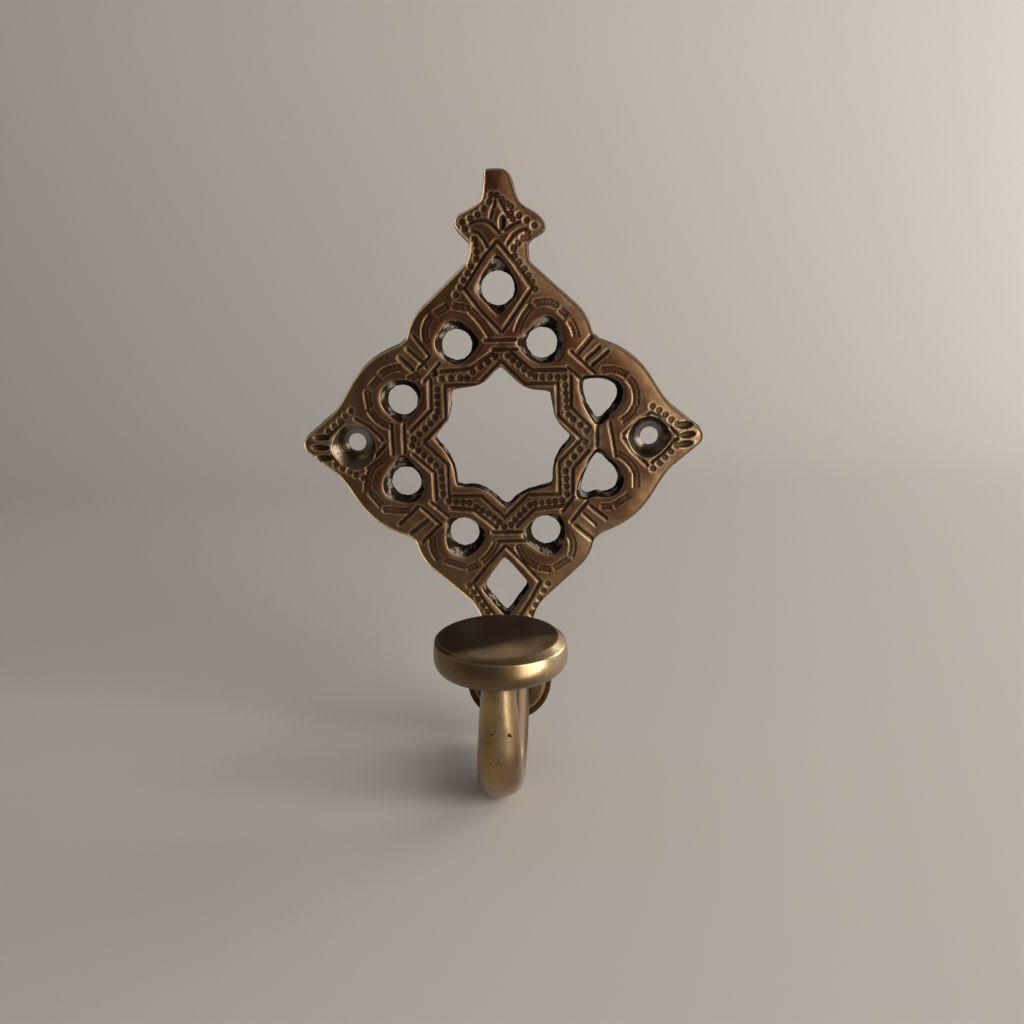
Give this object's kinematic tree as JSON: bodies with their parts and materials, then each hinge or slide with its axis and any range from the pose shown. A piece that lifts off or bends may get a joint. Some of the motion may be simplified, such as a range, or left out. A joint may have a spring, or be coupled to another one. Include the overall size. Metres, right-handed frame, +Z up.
{
  "type": "wall hook",
  "caption": "Cast brass wall hook: pierced, engraved diamond-shaped back plate with an eight-pointed star opening, and a J-shaped arm that ends in a thick disc for hanging coats or bags.",
  "frame": {"origin": "midway between the two screw holes, on the back face that lies on the wall", "axes": "+Z up along the plate, +X across it to the right as seen from the front, -Y out of the wall towards the person"},
  "size_m": [0.1, 0.0575, 0.1458],
  "materials": {
    "aged_brass": "aged, dark in the engraved lines and rubbed bright on the edges and the disc"
  },
  "bodies": {
    "root": {"wall_hook": "aged_brass"}
  },
  "joints": []
}
